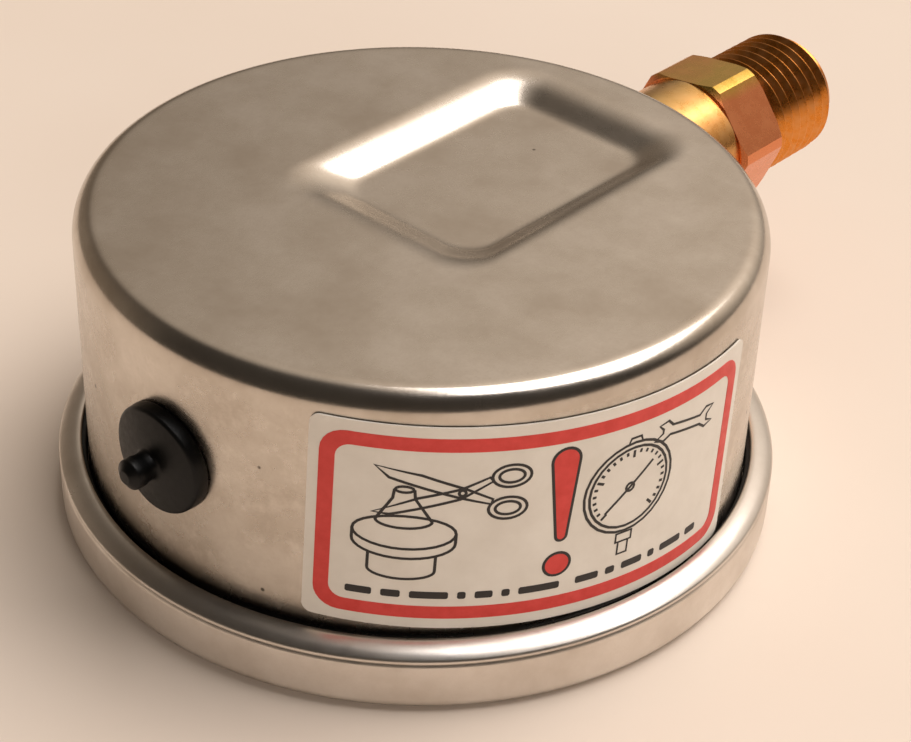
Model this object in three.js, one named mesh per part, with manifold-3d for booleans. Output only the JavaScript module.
// A liquid-filled Bourdon-tube pressure gauge, 63 mm nominal size, with its connection at six o'clock.
// It stands face down: +Z runs out of the back of the case and +Y runs along the stem.
// Seen from the front, twelve o'clock is -Y and three o'clock is +X, so clockwise is a positive turn
// about +Z. Sizes are millimetres.
import * as THREE from "three";
import { mergeVertices } from "three/addons/utils/BufferGeometryUtils.js";
import Module from "manifold-3d";

const wasm = await Module();
wasm.setup();

// ---- Clearances
const SEAT_GAP = 0.15; // between pieces that rest on each other
const RUN_GAP = 0.06; // radial play of a shaft in its hole
const PRESS_GAP = 0.03; // radial gap of a pin that is pressed into its hole
const JOINT_FILL = 0.3; // solder or packing gap at the tube's ends

// ---- Facets round a turned piece
const CASE_SIDES = 48;
const TUBE_SIDES = 40;
const STEM_SIDES = 40;

// ---- Case: a deep-drawn pot with a flange at its mouth and a recess pressed in its back
const CASE_RADIUS = 31;
const CASE_BACK = 30.6; // height of the back above the bezel's front
const CASE_WALL = 0.8;
const CASE_EDGE_RADIUS = 1.5;
const FLANGE_WIDTH = 1.9;
const FLANGE_THICKNESS = 0.7;
const RECESS_DEPTH = 1.8;
const RECESS_MOUTH = { halfWidth: 10.9, top: -6.5, bottom: 25, corner: 4.4 };
const RECESS_FLOOR = { halfWidth: 8.2, top: -2.4, bottom: 21.8, corner: 3.2 };

// ---- Bezel, window and their seals
const BEZEL_RADIUS_OVER_CASE = 2.77;
const BEZEL_THICKNESS = 0.6;
const BEZEL_OPENING_INSET = 5.2; // from the bezel's outside to the edge of the window opening
const BEZEL_FRONT_RADIUS = 1.5;
const BEZEL_CRIMP_LIP = 0.6; // how far the crimped rear edge stands off the case wall
const BEZEL_GROOVE_FROM_REAR = 1.3;
const BEZEL_GROOVE_HALF_WIDTH = 0.35;
const BEZEL_GROOVE_DEPTH = 0.12;
const BEZEL_BEAD_RADIUS = 0.9;
const WINDOW_THICKNESS = 1.7;
const GASKET_LEG = 0.5;
const GASKET_OUTER_WALL = 0.4;
const GASKET_CORNER = 0.5; // chamfer that clears the bend of the bezel's front
const GASKET_REACH = 2.6; // how far its legs reach in over the window
const PACKING_THICKNESS = 1.4; // ring between the case's flange and the bezel's crimped edge

// ---- Dial and pointer
const DIAL_FROM_WINDOW = 2.575;
const DIAL_THICKNESS = 0.4;
const DIAL_EDGE_GAP = 0.4;
const DIAL_HOLE_RADIUS = 1.5;
const DIAL_SCREW_SPACING = 19;
const DIAL_SCREW_RADIUS = 0.8;
const DIAL_SCREW_HEAD = 1.6;
const POINTER_GAP = 1.0; // between the dial and the pointer
const POINTER_THICKNESS = 0.4;
const POINTER_LENGTH = 22;
const POINTER_TAIL = 8;
const POINTER_SWEEP = 270;
const POINTER_ZERO = 135; // direction of the zero mark, half past seven, from +X about +Z
const STOP_PIN_RADIUS = 0.5;
const STOP_PIN_DISTANCE = 16;

// ---- Movement: pinion, sector, plates
const GEAR_MODULE = 0.24;
const PINION_TEETH = 14;
const SECTOR_FULL_TEETH = 112; // teeth that a whole wheel of the sector's radius would have
const TOOTH_BACKLASH = 0.05;
const PRESSURE_ANGLE = 22;
const SECTOR_DIRECTION = 70; // from the pinion to the sector's arbor, from +X about +Z
const SECTOR_MARGIN = 6; // toothed angle beyond each end of the swing
const SECTOR_THICKNESS = 0.8;
const PINION_FACE = 1.8;
const PLATE_THICKNESS = 0.8;
const PLATE_SPACING = 5.6;
const DIAL_TO_PLATE = 2.15;
const PLATE_HALF_WIDTH = 6.5;
const PLATE_END_MARGIN = 7.3;
const EAR_WIDTH = 4.4;
const ARBOR_RADIUS = 0.7;
const PIVOT_RADIUS = 0.5; // of the arbors' rear ends and the sector arbor's front end
const PILLAR_RADIUS = 1.2;
const PLATE_SCREW_HEAD = 1.3;
const MOVEMENT_SCREW_HEAD = 1.7;
const HAIRSPRING_INNER = 1.6;
const HAIRSPRING_OUTER = 4.6;
const HAIRSPRING_TURNS = 4;
const HAIRSPRING_STRIP = 0.22;
const HAIRSPRING_WIDTH = 0.5;

// ---- Bourdon tube, its tip and the link
const TUBE_RADIUS = 22;
const TUBE_WIDTH = 7;
const TUBE_DEPTH = 2.6;
const TUBE_WALL = 0.4;
const TUBE_START = 112; // direction of its soldered end, from +X about +Z
const TUBE_END = 404;
const TAIL_LENGTH = 4.7; // sector arbor to tail pin
const LINK_LENGTH = 7;
const LINK_THICKNESS = 0.6;
const LINK_PIN_RADIUS = 0.5;
const OPEN_PIVOT_PLAY = 0.3; // radial play at the tail pin
const LINK_EYE_WALL = 0.75;
const TIP_TAB_THICKNESS = 0.8;

// ---- Stem: block, neck, hexagon and thread in one brass piece
const NECK_RADIUS = 7;
const NECK_LENGTH = 8.6; // from the case wall to the hexagon
const HEX_ACROSS_FLATS = 14;
const HEX_ACROSS_CORNERS = 15.6;
const HEX_LENGTH = 6.5;
const HEX_CHAMFER = 0.6;
const HEX_TURN = 7.5; // turn of the flats about the stem axis
const THREAD_RADIUS = 13.157 / 2;
const THREAD_PITCH = 1.337;
const THREAD_LENGTH = 11.5;
const THREAD_CHAMFER = 1.5;
const THREAD_LEAD_IN = 0.6; // cone between the relief and the thread
const RELIEF_LENGTH = 0.8;
const BORE_RADIUS = 1.2;
const RESTRICTOR_RADIUS = 1.6;
const RESTRICTOR_LENGTH = 4;
const RESTRICTOR_SINK = 2.5;
const RESTRICTOR_HOLE = 0.35;
const THREAD_DEPTH = 0.64; // as a share of the pitch
const BLOCK_HALF_WIDTH = 8;
const BLOCK_TOP = -2;
const LUG_WALL = 1.1; // brass round the tube's soldered end
const LUG_REACH = 3.6;
const LUG_HALF_WIDTH = 3;
const COLLAR_WIDTH = 1.8; // how far the collar behind the O-ring stands out from the neck
const COLLAR_LENGTH = 1.6;
const COLLAR_TO_BACK = 0.5;
const O_RING_SECTION = 0.9;

// ---- Vent plug at twelve o'clock and the label at the side
const PLUG_FLANGE_RADIUS = 5;
const PLUG_FLANGE_REACH = 1.9; // outside of the flange beyond the case wall
const PLUG_NIPPLE_RADIUS = 1.38;
const PLUG_NIPPLE_LENGTH = 2.6;
const PLUG_NIPPLE_ROUND = 0.5;
const PLUG_BODY_RADIUS = 3.9;
const PLUG_LIP_RADIUS = 4.8;
const PLUG_FROM_BACK = 12.2;
const LABEL_LENGTH = 41.6;
const LABEL_HEIGHT = 20.6;
const LABEL_CORNER = 2;
const LABEL_THICKNESS = 0.2;
const LABEL_OFF_WALL = 0.1;
const LABEL_DIRECTION = -25.75; // its middle, from +X about +Z
const LABEL_FROM_BACK = 13.4;
const LABEL_TILT = 2.5;

const FAR = 60; // past every piece, for tools that cut right through

// ---- Places that follow from the sizes above
const CASE_INNER = CASE_RADIUS - CASE_WALL;
const BEZEL_RADIUS = CASE_RADIUS + BEZEL_RADIUS_OVER_CASE;
const BEZEL_INNER = BEZEL_RADIUS - BEZEL_THICKNESS;
const OPENING_RADIUS = BEZEL_RADIUS - BEZEL_OPENING_INSET;
const GASKET_RADIUS = BEZEL_INNER - SEAT_GAP;
const WINDOW_RADIUS = GASKET_RADIUS - GASKET_OUTER_WALL - SEAT_GAP;
const GASKET_FRONT = BEZEL_THICKNESS + SEAT_GAP;
const WINDOW_FRONT = GASKET_FRONT + GASKET_LEG + SEAT_GAP / 2;
const WINDOW_REAR = WINDOW_FRONT + WINDOW_THICKNESS;
const GASKET_REAR = WINDOW_REAR + SEAT_GAP / 2 + GASKET_LEG;
const FLANGE_FRONT = GASKET_REAR + SEAT_GAP / 2;
const FLANGE_REAR = FLANGE_FRONT + FLANGE_THICKNESS;
const FLANGE_RADIUS = CASE_RADIUS + FLANGE_WIDTH;
const PACKING_FRONT = FLANGE_REAR + SEAT_GAP / 2;
const PACKING_REAR = PACKING_FRONT + PACKING_THICKNESS;
const BEZEL_HEIGHT = PACKING_REAR + SEAT_GAP + BEZEL_THICKNESS;
const DIAL_FRONT = WINDOW_REAR + DIAL_FROM_WINDOW;
const COLLAR_RADIUS = NECK_RADIUS + COLLAR_WIDTH;
const STEM_HEIGHT = CASE_BACK - CASE_WALL - COLLAR_TO_BACK - COLLAR_RADIUS;
const HEX_START = CASE_RADIUS + NECK_LENGTH;
const HEX_END = HEX_START + HEX_LENGTH;
const STEM_END = HEX_END + THREAD_LENGTH;
const PLUG_OUTSIDE = CASE_RADIUS + PLUG_FLANGE_REACH;
const PLUG_TIP = PLUG_OUTSIDE + PLUG_NIPPLE_LENGTH;
const BLOCK_BACK = CASE_BACK - RECESS_DEPTH - CASE_WALL - JOINT_FILL;
const O_RING_OUTSIDE = NECK_RADIUS + SEAT_GAP + 2 * O_RING_SECTION;
const O_RING_PLACE = Math.sqrt(CASE_INNER ** 2 - O_RING_OUTSIDE ** 2) - O_RING_SECTION - SEAT_GAP;
const COLLAR_END = O_RING_PLACE - O_RING_SECTION - SEAT_GAP;
const DIAL_REAR = DIAL_FRONT + DIAL_THICKNESS;
const FRONT_PLATE_FRONT = DIAL_REAR + DIAL_TO_PLATE;
const FRONT_PLATE_REAR = FRONT_PLATE_FRONT + PLATE_THICKNESS;
const BACK_PLATE_FRONT = FRONT_PLATE_REAR + PLATE_SPACING;
const BACK_PLATE_REAR = BACK_PLATE_FRONT + PLATE_THICKNESS;
const BLOCK_FRONT = BACK_PLATE_REAR + SEAT_GAP;
const POINTER_REAR = DIAL_FRONT - POINTER_GAP;
const POINTER_FRONT = POINTER_REAR - POINTER_THICKNESS;
const SECTOR_FRONT = FRONT_PLATE_REAR + 2.6;
const SECTOR_REAR = SECTOR_FRONT + SECTOR_THICKNESS;
const SECTOR_SWING = (POINTER_SWEEP * PINION_TEETH) / SECTOR_FULL_TEETH;
const PINION_PITCH_RADIUS = (GEAR_MODULE * PINION_TEETH) / 2;
const SECTOR_PITCH_RADIUS = (GEAR_MODULE * SECTOR_FULL_TEETH) / 2;
const GEAR_CENTRES = PINION_PITCH_RADIUS + SECTOR_PITCH_RADIUS;
const LINK_FRONT = SECTOR_REAR + SEAT_GAP;
const LINK_REAR = LINK_FRONT + LINK_THICKNESS;
const TAB_FRONT = LINK_REAR + SEAT_GAP;
const TAB_REAR = TAB_FRONT + TIP_TAB_THICKNESS;

const radians = THREE.MathUtils.degToRad;
const point = (radius, degrees) =>
  new THREE.Vector2(radius * Math.cos(radians(degrees)), radius * Math.sin(radians(degrees)));

// The middle of an evenly bent tube's length is the point that its tip turns about as it unbends.
function tubePole() {
  const half = (TUBE_END - TUBE_START) / 2;
  const reach = (TUBE_RADIUS * Math.sin(radians(half))) / radians(half);
  return point(reach, TUBE_START + half);
}

// The sector's arbor, and the two link pins at rest. At mid swing the link stands square to the
// sector's tail and to the tip's own turning radius.
function linkage() {
  const arbor = point(GEAR_CENTRES, SECTOR_DIRECTION);
  const pole = tubePole();
  const across = arbor.clone().sub(pole);
  const middle = across.angle() - Math.asin(LINK_LENGTH / across.length());
  const along = new THREE.Vector2(Math.cos(middle), Math.sin(middle));
  const pull = new THREE.Vector2(Math.sin(middle), -Math.cos(middle));
  const tailMiddle = arbor.clone().addScaledVector(along, TAIL_LENGTH);
  const tipMiddle = tailMiddle.addScaledVector(pull, LINK_LENGTH);
  const rest = middle + radians(SECTOR_SWING) / 2;
  const tail = new THREE.Vector2(Math.cos(rest), Math.sin(rest)).multiplyScalar(TAIL_LENGTH).add(arbor);
  const span = tipMiddle.clone().sub(pole);
  let tip = tipMiddle;
  for (let step = 0; step < 40; step += 1) {
    const miss = tip.distanceTo(tail) - LINK_LENGTH;
    const turn = tip.clone().sub(pole).angle() + miss / span.length();
    tip = new THREE.Vector2(Math.cos(turn), Math.sin(turn)).multiplyScalar(span.length()).add(pole);
  }
  return { arbor, tail, tip };
}
const { arbor: SECTOR_ARBOR, tail: TAIL_PIN, tip: TIP_PIN } = linkage();

// ---- Solids
function solid(geometry) {
  const bare = new THREE.BufferGeometry().setAttribute(
    "position",
    (geometry.index ? geometry.toNonIndexed() : geometry).getAttribute("position"),
  );
  const merged = mergeVertices(bare, 1e-4);
  const corners = merged.index.array;
  const kept = [];
  for (let i = 0; i < corners.length; i += 3) {
    const [a, b, c] = [corners[i], corners[i + 1], corners[i + 2]];
    if (a !== b && b !== c && c !== a) kept.push(a, b, c);
  }
  const mesh = new wasm.Mesh({
    numProp: 3,
    vertProperties: merged.attributes.position.array,
    triVerts: new Uint32Array(kept),
  });
  return new wasm.Manifold(mesh);
}

function geometry(manifold) {
  const mesh = manifold.getMesh();
  const made = new THREE.BufferGeometry();
  made.setAttribute("position", new THREE.BufferAttribute(new Float32Array(mesh.vertProperties), 3));
  made.setIndex(new THREE.BufferAttribute(new Uint32Array(mesh.triVerts), 1));
  made.computeVertexNormals();
  return made;
}

const moved = (manifold, x, y, z) => manifold.translate([x, y, z]);
const joined = (...manifolds) => manifolds.reduce((sum, next) => sum.add(next));

// Turns a profile of [radius, height] points about the Y axis. A profile that leaves the axis closes
// on itself.
function turnedAboutY(profile, sides) {
  const points = profile.map(([radius, height]) => new THREE.Vector2(radius, height));
  if (points[0].x > 0 || points[points.length - 1].x > 0) points.push(points[0].clone());
  let area = 0;
  points.forEach((p, i) => {
    const next = points[(i + 1) % points.length];
    area += p.x * next.y - next.x * p.y;
  });
  if (area < 0) points.reverse();
  return new THREE.LatheGeometry(points, sides);
}

const turned = (profile, sides) => solid(turnedAboutY(profile, sides).rotateX(Math.PI / 2));
const turnedOnStem = (profile, sides) =>
  solid(turnedAboutY(profile, sides).translate(0, 0, STEM_HEIGHT));
// Profile of a plain rod, for the turning functions.
const rodProfile = (radius, low, high) => [
  [0, low],
  [radius, low],
  [radius, high],
  [0, high],
];

// A solid bar along Z between two heights.
function rod(centre, radius, low, high, sides) {
  const profile = [[0, low], [radius, low], [radius, high], [0, high]];
  return moved(turned(profile, sides), centre.x, centre.y, 0);
}

// A bar along Z with a hole through it.
function sleeve(centre, outer, inner, low, high, sides) {
  const profile = [[inner, low], [outer, low], [outer, high], [inner, high]];
  return moved(turned(profile, sides), centre.x, centre.y, 0);
}

function extruded(shape, low, high, curveSegments = 6) {
  const made = new THREE.ExtrudeGeometry(shape, {
    depth: high - low,
    bevelEnabled: false,
    curveSegments,
  });
  return solid(made.translate(0, 0, low));
}

function box(x0, x1, y0, y1, z0, z1) {
  const made = new THREE.BoxGeometry(x1 - x0, y1 - y0, z1 - z0);
  return solid(made.translate((x0 + x1) / 2, (y0 + y1) / 2, (z0 + z1) / 2));
}

// A rectangle with round corners, from its four sides.
function roundedShape(x0, x1, y0, y1, corner) {
  const shape = new THREE.Shape();
  shape.moveTo(x0 + corner, y0);
  shape.lineTo(x1 - corner, y0);
  shape.absarc(x1 - corner, y0 + corner, corner, -Math.PI / 2, 0);
  shape.lineTo(x1, y1 - corner);
  shape.absarc(x1 - corner, y1 - corner, corner, 0, Math.PI / 2);
  shape.lineTo(x0 + corner, y1);
  shape.absarc(x0 + corner, y1 - corner, corner, Math.PI / 2, Math.PI);
  shape.lineTo(x0, y0 + corner);
  shape.absarc(x0 + corner, y0 + corner, corner, Math.PI, 1.5 * Math.PI);
  return shape;
}

// A bar with round ends between two points.
function strap(from, to, radius) {
  const turn = to.clone().sub(from).angle();
  const shape = new THREE.Shape();
  shape.absarc(to.x, to.y, radius, turn - Math.PI / 2, turn + Math.PI / 2);
  shape.absarc(from.x, from.y, radius, turn + Math.PI / 2, turn + 1.5 * Math.PI);
  return shape;
}

// A wedge of space between two directions, as tall and wide as the case.
function wedge(from, to) {
  const shape = new THREE.Shape();
  shape.moveTo(0, 0);
  const reach = 2 * CASE_RADIUS;
  const steps = Math.max(1, Math.ceil((to - from) / 60));
  for (let i = 0; i <= steps; i += 1) {
    const p = point(reach, from + ((to - from) * i) / steps);
    shape.lineTo(p.x, p.y);
  }
  return extruded(shape, -1, CASE_BACK + 1);
}

// ---- Meshes
const gauge = new THREE.Group();

function part(name, manifold, color, roughness, metalness) {
  const material = new THREE.MeshStandardMaterial({ color, roughness, metalness });
  const mesh = new THREE.Mesh(geometry(manifold), material);
  mesh.name = name;
  gauge.add(mesh);
}

const stainless = [0xa89a8c, 0.35, 1];
const brass = [0xb8923c, 0.35, 1];
const steel = [0x9a9a98, 0.35, 1];
const bronze = [0xb08040, 0.35, 1];
const rubber = [0x141416, 0.7, 0];

// ---- Case
function recessForm(grow, sink) {
  const floor = RECESS_FLOOR;
  const mouth = RECESS_MOUTH;
  const shape = roundedShape(-1, 1, -1, 1, floor.corner / floor.halfWidth);
  const form = new THREE.ExtrudeGeometry(shape, { depth: 1, bevelEnabled: false, curveSegments: 3 });
  const corners = form.getAttribute("position");
  for (let i = 0; i < corners.count; i += 1) {
    const end = corners.getZ(i) > 0.5 ? mouth : floor;
    const height = corners.getZ(i) > 0.5 ? CASE_BACK - sink + 0.01 : CASE_BACK - RECESS_DEPTH - sink;
    const middle = (end.top + end.bottom) / 2;
    const halfLength = (end.bottom - end.top) / 2 + grow;
    corners.setXYZ(
      i,
      corners.getX(i) * (end.halfWidth + grow),
      middle + corners.getY(i) * halfLength,
      height,
    );
  }
  return solid(form);
}

function makeCase() {
  const edge = new THREE.Vector2(CASE_RADIUS - CASE_EDGE_RADIUS, CASE_BACK - CASE_EDGE_RADIUS);
  const roundEdge = (radius) =>
    [0, 22.5, 45, 67.5, 90].map((turn) => {
      const corner = point(radius, turn).add(edge);
      return [corner.x, corner.y];
    });
  const innerEdge = roundEdge(CASE_EDGE_RADIUS - CASE_WALL).reverse();
  const profile = [
    [0, CASE_BACK - CASE_WALL],
    ...innerEdge,
    [CASE_INNER, FLANGE_FRONT],
    [FLANGE_RADIUS, FLANGE_FRONT],
    [FLANGE_RADIUS, FLANGE_REAR],
    [CASE_RADIUS, FLANGE_REAR],
    ...roundEdge(CASE_EDGE_RADIUS),
    [0, CASE_BACK],
  ];
  const pot = turned(profile, CASE_SIDES);
  const dome = recessForm(CASE_WALL / 2, CASE_WALL);
  const stemHole = turnedOnStem(rodProfile(NECK_RADIUS + SEAT_GAP, 0, FAR), 32);
  const plugHole = turnedOnPlug(rodProfile(PLUG_BODY_RADIUS + SEAT_GAP, 0, FAR), 24);
  return pot.add(dome).subtract(recessForm(0, 0)).subtract(stemHole).subtract(plugHole);
}

// Turns a profile of [radius, distance from the case axis] about the vent plug's axis.
function turnedOnPlug(profile, sides) {
  const made = turnedAboutY(profile, sides).rotateZ(Math.PI);
  return solid(made.translate(0, 0, CASE_BACK - PLUG_FROM_BACK));
}

part("case", makeCase(), ...stainless);

// ---- Bezel, window, seals
function makeBezel() {
  const bend = (radius) =>
    [0, 30, 60, 90].map((turn) => [
      BEZEL_RADIUS - BEZEL_FRONT_RADIUS + point(radius, turn).y,
      BEZEL_FRONT_RADIUS - point(radius, turn).x,
    ]);
  const beadRadius = BEZEL_RADIUS - BEZEL_BEAD_RADIUS;
  const beadHeight = BEZEL_HEIGHT - BEZEL_BEAD_RADIUS;
  const bead = [0, 30, 60, 90].map((turn) => [
    beadRadius + point(BEZEL_BEAD_RADIUS, turn).x,
    beadHeight + point(BEZEL_BEAD_RADIUS, turn).y,
  ]);
  const grooveHeight = BEZEL_HEIGHT - BEZEL_GROOVE_FROM_REAR;
  const lipRadius = CASE_RADIUS + BEZEL_CRIMP_LIP;
  const lipHeight = BEZEL_HEIGHT - BEZEL_THICKNESS;
  return turned(
    [
      [OPENING_RADIUS, 0],
      ...bend(BEZEL_FRONT_RADIUS),
      [BEZEL_RADIUS, grooveHeight - BEZEL_GROOVE_HALF_WIDTH],
      [BEZEL_RADIUS - BEZEL_GROOVE_DEPTH, grooveHeight],
      ...bead,
      [lipRadius, BEZEL_HEIGHT],
      [lipRadius, lipHeight],
      [BEZEL_INNER, lipHeight],
      ...bend(BEZEL_FRONT_RADIUS - BEZEL_THICKNESS).reverse(),
      [OPENING_RADIUS, BEZEL_THICKNESS],
    ],
    CASE_SIDES,
  );
}

function makeGasket() {
  const legEnd = GASKET_RADIUS - GASKET_REACH;
  const inner = WINDOW_RADIUS + SEAT_GAP;
  return turned(
    [
      [legEnd, GASKET_FRONT],
      [GASKET_RADIUS - GASKET_CORNER, GASKET_FRONT],
      [GASKET_RADIUS, GASKET_FRONT + GASKET_CORNER],
      [GASKET_RADIUS, GASKET_REAR],
      [legEnd, GASKET_REAR],
      [legEnd, GASKET_REAR - GASKET_LEG],
      [inner, GASKET_REAR - GASKET_LEG],
      [inner, GASKET_FRONT + GASKET_LEG],
      [legEnd, GASKET_FRONT + GASKET_LEG],
    ],
    CASE_SIDES,
  );
}

const origin = new THREE.Vector2(0, 0);
part("bezel_ring", makeBezel(), ...stainless);
part("window", rod(origin, WINDOW_RADIUS, WINDOW_FRONT, WINDOW_REAR, CASE_SIDES), 0xe8eef0, 0.05, 0);
part("window_gasket", makeGasket(), ...rubber);
part(
  "crimp_packing",
  sleeve(origin, GASKET_RADIUS, CASE_RADIUS + SEAT_GAP, PACKING_FRONT, PACKING_REAR, CASE_SIDES),
  ...rubber,
);

// ---- Dial, its screws and posts, the zero stop
const dialScrews = [-1, 1].map((side) => new THREE.Vector2((side * DIAL_SCREW_SPACING) / 2, 0));
const postRadius = DIAL_SCREW_RADIUS + 0.9;

function makeDial() {
  const edge = CASE_INNER - DIAL_EDGE_GAP;
  const plate = sleeve(origin, edge, DIAL_HOLE_RADIUS, DIAL_FRONT, DIAL_REAR, CASE_SIDES);
  const holes = dialScrews.map((centre) =>
    rod(centre, DIAL_SCREW_RADIUS + RUN_GAP, DIAL_FRONT - 1, DIAL_REAR + 1, 12),
  );
  const pinHole = rod(stopPin(), STOP_PIN_RADIUS + PRESS_GAP, DIAL_FRONT - 1, DIAL_REAR + 1, 12);
  return plate.subtract(joined(...holes, pinHole));
}

// The pin stands where the pointer's edge meets it at zero.
function stopPin() {
  const lean = (pointerHalfWidth(STOP_PIN_DISTANCE) + STOP_PIN_RADIUS + RUN_GAP) / STOP_PIN_DISTANCE;
  return point(STOP_PIN_DISTANCE, POINTER_ZERO - THREE.MathUtils.radToDeg(lean));
}

// A screw along Z with its head's underside at seat and its slot facing -Z.
function screw(centre, headRadius, shankRadius, seat, headHeight, shankEnd) {
  const head = rod(centre, headRadius, seat - headHeight, seat, 16);
  const shank = rod(centre, shankRadius, seat - 0.05, shankEnd, 12);
  const half = headRadius * 0.16;
  const slot = box(
    centre.x - 2 * headRadius,
    centre.x + 2 * headRadius,
    centre.y - half,
    centre.y + half,
    seat - 2 * headHeight,
    seat - headHeight * 0.55,
  );
  return joined(head, shank).subtract(slot);
}

part("dial", makeDial(), 0xf2f2ee, 0.5, 0);
dialScrews.forEach((centre, i) => {
  const postFront = DIAL_REAR + SEAT_GAP;
  const shankEnd = DIAL_REAR + 1.4;
  const headSeat = DIAL_FRONT - SEAT_GAP;
  const made = screw(centre, DIAL_SCREW_HEAD, DIAL_SCREW_RADIUS, headSeat, 0.6, shankEnd);
  const bore = rod(centre, DIAL_SCREW_RADIUS + PRESS_GAP, DIAL_REAR - 1, shankEnd + 0.1, 12);
  const post = rod(centre, postRadius, postFront, FRONT_PLATE_FRONT - SEAT_GAP, 16);
  part(`dial_screw_${i + 1}`, made, ...steel);
  part(`dial_post_${i + 1}`, post.subtract(bore), ...brass);
});
part(
  "zero_stop_pin",
  rod(stopPin(), STOP_PIN_RADIUS, POINTER_FRONT - 0.3, DIAL_REAR + 0.3, 12),
  ...steel,
);

// ---- Pointer and its hub
function pointerHalfWidth(distance) {
  return 1.15 - (0.95 * distance) / POINTER_LENGTH;
}

function makePointer() {
  const shape = new THREE.Shape();
  shape.moveTo(POINTER_LENGTH, 0);
  shape.lineTo(POINTER_LENGTH - 0.6, pointerHalfWidth(POINTER_LENGTH));
  shape.lineTo(0, pointerHalfWidth(0));
  shape.lineTo(-POINTER_TAIL, 1.9);
  shape.lineTo(-POINTER_TAIL, -1.9);
  shape.lineTo(0, -pointerHalfWidth(0));
  shape.lineTo(POINTER_LENGTH - 0.6, -pointerHalfWidth(POINTER_LENGTH));
  const blade = extruded(shape, POINTER_FRONT, POINTER_REAR).rotate([0, 0, POINTER_ZERO]);
  const boss = rod(origin, 2.4, POINTER_FRONT, POINTER_REAR, 20);
  const hole = rod(origin, hubRadius + PRESS_GAP, POINTER_FRONT - 1, POINTER_REAR + 1, 16);
  return blade.add(boss).subtract(hole);
}

const hubRadius = 1.2;
const hubFront = POINTER_FRONT - 0.35;
const hubRear = POINTER_REAR + 0.4;
part("pointer", makePointer(), 0x141414, 0.5, 0.2);
const hubBore = ARBOR_RADIUS - 0.1 + PRESS_GAP;
part("pointer_hub", sleeve(origin, hubRadius, hubBore, hubFront, hubRear, 16), ...brass);

// ---- Gears
// The outline of involute teeth. Each entry of centres is the direction of one tooth's middle.
function toothedOutline(teeth, centres, addendum, dedendum) {
  const pitch = (GEAR_MODULE * teeth) / 2;
  const base = pitch * Math.cos(radians(PRESSURE_ANGLE));
  const tip = pitch + addendum;
  const root = pitch - dedendum;
  const involute = (radius) => {
    const pressure = Math.acos(Math.min(1, base / Math.max(radius, base)));
    return Math.tan(pressure) - pressure;
  };
  const thickness = (Math.PI * GEAR_MODULE) / 2 - TOOTH_BACKLASH;
  const halfAt = (radius) => thickness / (2 * pitch) + involute(pitch) - involute(radius);
  const flank = [root, Math.max(base, root + 0.02), pitch, tip];
  const outline = [];
  centres.forEach((centre) => {
    const middle = radians(centre);
    flank.forEach((radius) => outline.push([radius, middle - halfAt(radius)]));
    [...flank].reverse().forEach((radius) => outline.push([radius, middle + halfAt(radius)]));
  });
  return outline.map(
    ([radius, turn]) => new THREE.Vector2(radius * Math.cos(turn), radius * Math.sin(turn)),
  );
}

function makePinionArbor() {
  const gapMiddle = SECTOR_DIRECTION + 180 / PINION_TEETH;
  const centres = Array.from({ length: PINION_TEETH }, (_, i) => gapMiddle + (360 * i) / PINION_TEETH);
  const outline = toothedOutline(PINION_TEETH, centres, 0.95 * GEAR_MODULE, 1.2 * GEAR_MODULE);
  const middle = (SECTOR_FRONT + SECTOR_REAR) / 2;
  const leaves = extruded(new THREE.Shape(outline), middle - PINION_FACE / 2, middle + PINION_FACE / 2);
  const taper = ARBOR_RADIUS - 0.1;
  const shaft = turned(
    [
      [0, POINTER_FRONT],
      [taper, POINTER_FRONT],
      [taper, hubRear],
      [ARBOR_RADIUS, hubRear + 0.3],
      [ARBOR_RADIUS, BACK_PLATE_FRONT - 0.3],
      [0.5, BACK_PLATE_FRONT - 0.3],
      [0.5, BACK_PLATE_REAR],
      [0, BACK_PLATE_REAR],
    ],
    16,
  );
  return shaft.add(leaves);
}

function makeSector() {
  const mesh = SECTOR_DIRECTION + 180;
  const step = 360 / SECTOR_FULL_TEETH;
  const count = Math.ceil((SECTOR_SWING + 2 * SECTOR_MARGIN) / step) + 1;
  const first = -Math.floor(SECTOR_MARGIN / step);
  const centres = Array.from({ length: count }, (_, i) => mesh + (first + i) * step);
  const outline = toothedOutline(SECTOR_FULL_TEETH, centres, 0.8 * GEAR_MODULE, 1.2 * GEAR_MODULE);
  const rimInner = SECTOR_PITCH_RADIUS - 2.2;
  const last = centres[count - 1];
  const rimAngles = [0, 0.25, 0.5, 0.75, 1].map((t) => last + (centres[0] - last) * t);
  const rim = extruded(
    new THREE.Shape([...outline, ...rimAngles.map((turn) => point(rimInner, turn))]),
    SECTOR_FRONT,
    SECTOR_REAR,
  );
  const middle = (centres[0] + centres[count - 1]) / 2;
  const arms = [centres[0] + 4, middle, centres[count - 1] - 4].map((turn) =>
    extruded(strap(origin, point(rimInner + 0.5, turn), 0.9), SECTOR_FRONT, SECTOR_REAR, 4),
  );
  const tail = TAIL_PIN.clone().sub(SECTOR_ARBOR);
  const tailOutline = strap(origin, tail, LINK_PIN_RADIUS + LINK_EYE_WALL);
  const tailBar = extruded(tailOutline, SECTOR_FRONT, SECTOR_REAR, 6);
  const boss = rod(origin, ARBOR_RADIUS + 1.2, SECTOR_FRONT, SECTOR_REAR, 20);
  const arborHole = rod(origin, ARBOR_RADIUS + PRESS_GAP, SECTOR_FRONT - 1, SECTOR_REAR + 1, 16);
  const pinHole = rod(tail, LINK_PIN_RADIUS + PRESS_GAP, SECTOR_FRONT - 1, SECTOR_REAR + 1, 12);
  const body = joined(rim, ...arms, tailBar, boss).subtract(arborHole).subtract(pinHole);
  return moved(body, SECTOR_ARBOR.x, SECTOR_ARBOR.y, 0);
}

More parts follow.
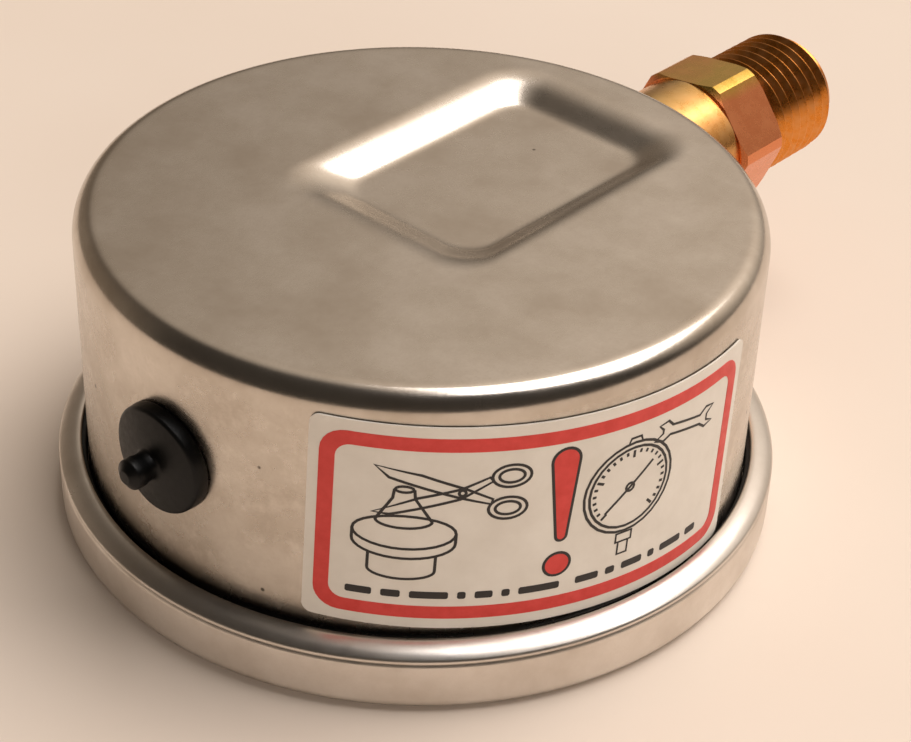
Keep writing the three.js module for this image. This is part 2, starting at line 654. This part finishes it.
function makeSectorArbor() {
  const profile = [
    [0, FRONT_PLATE_FRONT],
    [0.5, FRONT_PLATE_FRONT],
    [0.5, FRONT_PLATE_REAR + 0.3],
    [ARBOR_RADIUS, FRONT_PLATE_REAR + 0.3],
    [ARBOR_RADIUS, BACK_PLATE_FRONT - 0.3],
    [0.5, BACK_PLATE_FRONT - 0.3],
    [0.5, BACK_PLATE_REAR],
    [0, BACK_PLATE_REAR],
  ];
  return moved(turned(profile, 16), SECTOR_ARBOR.x, SECTOR_ARBOR.y, 0);
}

part("pinion_arbor", makePinionArbor(), ...steel);
part("sector_gear", makeSector(), ...brass);
part("sector_arbor", makeSectorArbor(), ...steel);

// ---- Plates, pillars and screws
// A point of the movement: s along the line from pinion to sector, t to its left.
function onMovement(s, t) {
  return new THREE.Vector2(s, t).rotateAround(origin, radians(SECTOR_DIRECTION));
}

const pillars = [onMovement(-5.3, 4), onMovement(-5.3, -4), onMovement(GEAR_CENTRES + 1.4, 4)];
const movementScrews = [onMovement(3.6, 7.8), onMovement(GEAR_CENTRES + 1, 8)];
const screwShank = 0.6;
const mountShank = 1;

function plateOutline(right, left) {
  return roundedShape(-PLATE_END_MARGIN, GEAR_CENTRES + 3.6, right, left, 2.5);
}

function plateHole(centre, radius, front, rear) {
  return rod(centre, radius, front - 1, rear + 1, 16);
}

function makeFrontPlate() {
  const outline = plateOutline(-PLATE_HALF_WIDTH, PLATE_HALF_WIDTH);
  const bar = extruded(outline, FRONT_PLATE_FRONT, FRONT_PLATE_REAR, 4);
  const plate = bar.rotate([0, 0, SECTOR_DIRECTION]);
  const earOutline = strap(dialScrews[0], dialScrews[1], EAR_WIDTH / 2);
  const ears = extruded(earOutline, FRONT_PLATE_FRONT, FRONT_PLATE_REAR);
  const holes = [
    plateHole(origin, ARBOR_RADIUS + RUN_GAP, FRONT_PLATE_FRONT, FRONT_PLATE_REAR),
    plateHole(SECTOR_ARBOR, PIVOT_RADIUS + RUN_GAP, FRONT_PLATE_FRONT, FRONT_PLATE_REAR),
    ...pillars.map((p) => plateHole(p, screwShank + RUN_GAP, FRONT_PLATE_FRONT, FRONT_PLATE_REAR)),
  ];
  return plate.add(ears).subtract(joined(...holes));
}

function makeBackPlate() {
  const outline = plateOutline(-PLATE_HALF_WIDTH, PLATE_HALF_WIDTH + 3.8);
  const bar = extruded(outline, BACK_PLATE_FRONT, BACK_PLATE_REAR, 4);
  const plate = bar.rotate([0, 0, SECTOR_DIRECTION]);
  const hole = (centre, radius) => plateHole(centre, radius + RUN_GAP, BACK_PLATE_FRONT, BACK_PLATE_REAR);
  const holes = [
    ...[origin, SECTOR_ARBOR].map((p) => hole(p, PIVOT_RADIUS)),
    ...movementScrews.map((p) => hole(p, mountShank)),
  ];
  return plate.subtract(joined(...holes));
}

part("front_plate", makeFrontPlate(), ...brass);
part("back_plate", makeBackPlate(), ...brass);
pillars.forEach((centre, i) => {
  const front = FRONT_PLATE_REAR + SEAT_GAP;
  const rear = BACK_PLATE_FRONT - SEAT_GAP;
  const shankEnd = front + 1.6;
  const bore = rod(centre, screwShank + PRESS_GAP, front - 1, shankEnd + 0.1, 12);
  const made = screw(centre, PLATE_SCREW_HEAD, screwShank, FRONT_PLATE_FRONT - SEAT_GAP, 0.7, shankEnd);
  part(`pillar_${i + 1}`, rod(centre, PILLAR_RADIUS, front, rear, 16).subtract(bore), ...brass);
  part(`plate_screw_${i + 1}`, made, ...steel);
});
const mountShankEnd = BLOCK_FRONT + 3;
movementScrews.forEach((centre, i) => {
  const seat = BACK_PLATE_FRONT - SEAT_GAP;
  const made = screw(centre, MOVEMENT_SCREW_HEAD, mountShank, seat, 0.9, mountShankEnd);
  part(`movement_screw_${i + 1}`, made, ...steel);
});

// ---- Hairspring, its collet and stud
function makeHairspring() {
  const pitch = (HAIRSPRING_OUTER - HAIRSPRING_INNER) / HAIRSPRING_TURNS;
  const steps = HAIRSPRING_TURNS * 20;
  const side = (offset) =>
    Array.from({ length: steps + 1 }, (_, i) => {
      const turn = (360 * i) / 20;
      return point(HAIRSPRING_INNER + (pitch * turn) / 360 + offset, turn);
    });
  const half = HAIRSPRING_STRIP / 2;
  const shape = new THREE.Shape([...side(half), ...side(-half).reverse()]);
  return extruded(shape, hairspringFront, hairspringFront + HAIRSPRING_WIDTH);
}

const hairspringFront = FRONT_PLATE_REAR + 0.7;
const colletRadius = HAIRSPRING_INNER - HAIRSPRING_STRIP / 2 - 0.2;
const colletFront = hairspringFront - 0.2;
const colletRear = hairspringFront + 0.8;
const studRadius = 0.45;
const studDistance = HAIRSPRING_OUTER + HAIRSPRING_STRIP / 2 + SEAT_GAP + studRadius;
const studCentre = new THREE.Vector2(studDistance, 0);
part("hairspring", makeHairspring(), ...bronze);
part(
  "hairspring_collet",
  sleeve(origin, colletRadius, ARBOR_RADIUS + PRESS_GAP, colletFront, colletRear, 16),
  ...brass,
);
part(
  "hairspring_stud",
  rod(studCentre, studRadius, FRONT_PLATE_REAR + SEAT_GAP, hairspringFront + HAIRSPRING_WIDTH + 0.2, 12),
  ...brass,
);

// ---- Bourdon tube, tip piece, link and pins
// A ring of flattened section, grown outwards by a margin.
function tubeRing(margin) {
  const halfWidth = TUBE_WIDTH / 2 + margin;
  const halfDepth = TUBE_DEPTH / 2 + margin;
  const round = [-90, -45, 0, 45, 90].map((turn) => point(halfDepth, turn));
  const straight = halfWidth - halfDepth;
  const rear = round.map((p) => [TUBE_RADIUS - p.y, STEM_HEIGHT + straight + p.x]);
  const front = round.map((p) => [TUBE_RADIUS + p.y, STEM_HEIGHT - straight - p.x]);
  return turned([...rear, ...front], TUBE_SIDES);
}

function makeTube() {
  return tubeRing(0).subtract(tubeRing(-TUBE_WALL)).subtract(wedge(TUBE_END - 360, TUBE_START));
}

function makeTubeTip() {
  const halfDepth = TUBE_DEPTH / 2 + 1;
  const low = STEM_HEIGHT - TUBE_WIDTH / 2 - 0.8;
  const high = STEM_HEIGHT + TUBE_WIDTH / 2 + 0.8;
  const end = TUBE_END - 360;
  const cap = sleeve(origin, TUBE_RADIUS + halfDepth, TUBE_RADIUS - halfDepth, low, high, TUBE_SIDES);
  const pocket = tubeRing(SEAT_GAP).intersect(wedge(end - 20, end + 0.4));
  const body = cap.intersect(wedge(end - 5, end + 9)).subtract(pocket);
  const root = point(TUBE_RADIUS, end + 5);
  const post = rod(root, 1.5, TAB_FRONT, low + 1, 16);
  const tab = extruded(strap(root, TIP_PIN, 1.5), TAB_FRONT, TAB_REAR, 5);
  const hole = rod(TIP_PIN, LINK_PIN_RADIUS + PRESS_GAP, TAB_FRONT - 1, TAB_REAR + 0.2, 12);
  return joined(body, post, tab).subtract(hole);
}

function makeLink() {
  const eye = LINK_PIN_RADIUS + OPEN_PIVOT_PLAY + LINK_EYE_WALL;
  const bar = extruded(strap(TAIL_PIN, TIP_PIN, eye), LINK_FRONT, LINK_REAR, 6);
  const openHole = plateHole(TAIL_PIN, LINK_PIN_RADIUS + OPEN_PIVOT_PLAY, LINK_FRONT, LINK_REAR);
  const tipHole = plateHole(TIP_PIN, LINK_PIN_RADIUS + RUN_GAP, LINK_FRONT, LINK_REAR);
  return bar.subtract(openHole).subtract(tipHole);
}

// A link pin with a head that keeps the link on.
function linkPin(centre, shankLow, shankHigh, headLow, headHigh) {
  const head = rod(centre, LINK_PIN_RADIUS + OPEN_PIVOT_PLAY + 0.35, headLow, headHigh, 16);
  return rod(centre, LINK_PIN_RADIUS, shankLow, shankHigh, 12).add(head);
}

part("bourdon_tube", makeTube(), ...bronze);
part("tube_tip", makeTubeTip(), ...brass);
part("link", makeLink(), ...steel);
part(
  "tail_pin",
  linkPin(TAIL_PIN, SECTOR_FRONT, LINK_REAR + SEAT_GAP + 0.1, LINK_REAR + SEAT_GAP, LINK_REAR + 0.55),
  ...steel,
);
const tipHeadRear = LINK_FRONT - SEAT_GAP;
part(
  "tip_pin",
  linkPin(TIP_PIN, tipHeadRear - 0.1, TAB_REAR, tipHeadRear - 0.4, tipHeadRear),
  ...steel,
);

// ---- Stem
function makeHexagon() {
  const shape = new THREE.Shape();
  const corner = HEX_ACROSS_FLATS / Math.sqrt(3);
  for (let i = 0; i < 6; i += 1) {
    const p = point(corner, 60 * i);
    if (i === 0) shape.moveTo(p.x, p.y);
    else shape.lineTo(p.x, p.y);
  }
  const bar = new THREE.ExtrudeGeometry(shape, { depth: HEX_LENGTH, bevelEnabled: false });
  bar.rotateX(-Math.PI / 2).rotateY(-radians(HEX_TURN)).translate(0, HEX_START, STEM_HEIGHT);
  const chamfer = HEX_CHAMFER;
  const round = HEX_ACROSS_CORNERS / 2;
  const limit = turnedOnStem(
    [
      [0, HEX_START],
      [round - chamfer, HEX_START],
      [round, HEX_START + chamfer / 2],
      [round, HEX_END - chamfer / 2],
      [round - chamfer, HEX_END],
      [0, HEX_END],
    ],
    STEM_SIDES,
  );
  return solid(bar).intersect(limit);
}

function makeStem() {
  const collarStart = COLLAR_END - COLLAR_LENGTH;
  const blockEnd = collarStart + 0.1;
  const block = box(-BLOCK_HALF_WIDTH, BLOCK_HALF_WIDTH, BLOCK_TOP, blockEnd, BLOCK_FRONT, BLOCK_BACK);
  const relief = THREAD_RADIUS - THREAD_PITCH * THREAD_DEPTH;
  const round = turnedOnStem(
    [
      [0, collarStart],
      [COLLAR_RADIUS, collarStart],
      [COLLAR_RADIUS, COLLAR_END],
      [NECK_RADIUS, COLLAR_END],
      [NECK_RADIUS, HEX_START + 0.5],
      [relief, HEX_START + 0.5],
      [relief, HEX_END + RELIEF_LENGTH],
      [THREAD_RADIUS, HEX_END + RELIEF_LENGTH + THREAD_LEAD_IN],
      [THREAD_RADIUS, STEM_END - THREAD_CHAMFER],
      [relief, STEM_END],
      [0, STEM_END],
    ],
    STEM_SIDES,
  );
  const root = point(TUBE_RADIUS, TUBE_START);
  const lugHalfHeight = TUBE_WIDTH / 2 + LUG_WALL;
  const lug = box(
    root.x - LUG_REACH,
    0.1 - BLOCK_HALF_WIDTH,
    root.y - LUG_HALF_WIDTH,
    root.y + LUG_HALF_WIDTH,
    STEM_HEIGHT - lugHalfHeight,
    STEM_HEIGHT + lugHalfHeight,
  );
  const socket = tubeRing(SEAT_GAP).intersect(wedge(TUBE_START - 0.6, TUBE_START + 30));
  const bore = turnedOnStem(rodProfile(BORE_RADIUS, root.y, STEM_END + 1), 16);
  const seatStart = STEM_END - RESTRICTOR_SINK - RESTRICTOR_LENGTH - SEAT_GAP;
  const seat = RESTRICTOR_RADIUS + JOINT_FILL;
  const counterbore = turnedOnStem(rodProfile(seat, seatStart, STEM_END + 1), 20);
  const crossRadius = BORE_RADIUS * 0.8;
  const crossBar = new THREE.CylinderGeometry(crossRadius, crossRadius, -root.x + 1, 12);
  crossBar.rotateZ(Math.PI / 2).translate((root.x - 1) / 2 + 0.5, root.y + 0.6, STEM_HEIGHT);
  const screwHoles = movementScrews.map((p) =>
    rod(p, mountShank + PRESS_GAP, BLOCK_FRONT - 1, mountShankEnd + 0.3, 12),
  );
  return joined(block, round, lug, makeHexagon())
    .subtract(joined(bore, counterbore, solid(crossBar), ...screwHoles))
    .subtract(socket);
}

const restrictorStart = STEM_END - RESTRICTOR_SINK - RESTRICTOR_LENGTH;
const restrictorEnd = STEM_END - RESTRICTOR_SINK;
part("stem", makeStem(), ...brass);
part(
  "restrictor_screw",
  turnedOnStem(
    [
      [RESTRICTOR_HOLE, restrictorStart],
      [RESTRICTOR_RADIUS, restrictorStart],
      [RESTRICTOR_RADIUS, restrictorEnd],
      [RESTRICTOR_HOLE, restrictorEnd],
    ],
    16,
  ),
  ...brass,
);

function makeORing() {
  const middle = O_RING_OUTSIDE - O_RING_SECTION;
  const section = Array.from({ length: 8 }, (_, i) => {
    const p = point(O_RING_SECTION, 45 * i);
    return [middle + p.x, O_RING_PLACE + p.y];
  });
  return turnedOnStem(section, 32);
}

part("stem_o_ring", makeORing(), ...rubber);

// ---- Vent plug: a rubber button whose nipple is cut off to vent the case
function makeVentPlug() {
  const outerWall = rod(origin, CASE_RADIUS + SEAT_GAP, -1, CASE_BACK + 1, CASE_SIDES);
  const innerWall = rod(origin, CASE_INNER - SEAT_GAP, -1, CASE_BACK + 1, CASE_SIDES);
  const button = turnedOnPlug(
    [
      [0, CASE_INNER - 2],
      [PLUG_FLANGE_RADIUS, CASE_INNER - 2],
      [PLUG_FLANGE_RADIUS, PLUG_OUTSIDE - 0.3],
      [PLUG_FLANGE_RADIUS - 0.3, PLUG_OUTSIDE],
      [PLUG_NIPPLE_RADIUS, PLUG_OUTSIDE],
      [PLUG_NIPPLE_RADIUS, PLUG_TIP - PLUG_NIPPLE_ROUND],
      [PLUG_NIPPLE_RADIUS - PLUG_NIPPLE_ROUND, PLUG_TIP],
      [0, PLUG_TIP],
    ],
    32,
  ).subtract(outerWall);
  const bodyStart = CASE_INNER - 1.6;
  const body = turnedOnPlug(rodProfile(PLUG_BODY_RADIUS, bodyStart, PLUG_OUTSIDE - 0.5), 24);
  const lipEnd = bodyStart - 1.2;
  const lipProfile = [
    [0, lipEnd],
    [PLUG_LIP_RADIUS - 1, lipEnd],
    [PLUG_LIP_RADIUS, bodyStart],
    [PLUG_LIP_RADIUS, FAR],
    [0, FAR],
  ];
  const lip = turnedOnPlug(lipProfile, 24).intersect(innerWall);
  return joined(button, body, lip);
}

part("vent_plug", makeVentPlug(), ...rubber);

// ---- Label wrapped on the case wall
function makeLabel() {
  const inner = CASE_RADIUS + LABEL_OFF_WALL;
  const shell = sleeve(origin, inner + LABEL_THICKNESS, inner, 0, CASE_BACK, CASE_SIDES);
  const halfChord = CASE_RADIUS * Math.sin(LABEL_LENGTH / 2 / CASE_RADIUS);
  const halfHeight = LABEL_HEIGHT / 2;
  const outline = roundedShape(-halfChord, halfChord, -halfHeight, halfHeight, LABEL_CORNER);
  const options = { depth: FAR, bevelEnabled: false, curveSegments: 4 };
  const cutter = new THREE.ExtrudeGeometry(outline, options).rotateZ(-radians(LABEL_TILT));
  cutter.rotateX(Math.PI / 2).rotateZ(Math.PI / 2 + radians(LABEL_DIRECTION));
  return shell.intersect(solid(cutter.translate(0, 0, CASE_BACK - LABEL_FROM_BACK)));
}

part("warning_label", makeLabel(), 0xd9d2c6, 0.6, 0);

// The part's origin is under the middle of the whole length.
gauge.position.y = (PLUG_TIP - STEM_END) / 2;
const root = new THREE.Group();
root.add(gauge);

export default root;
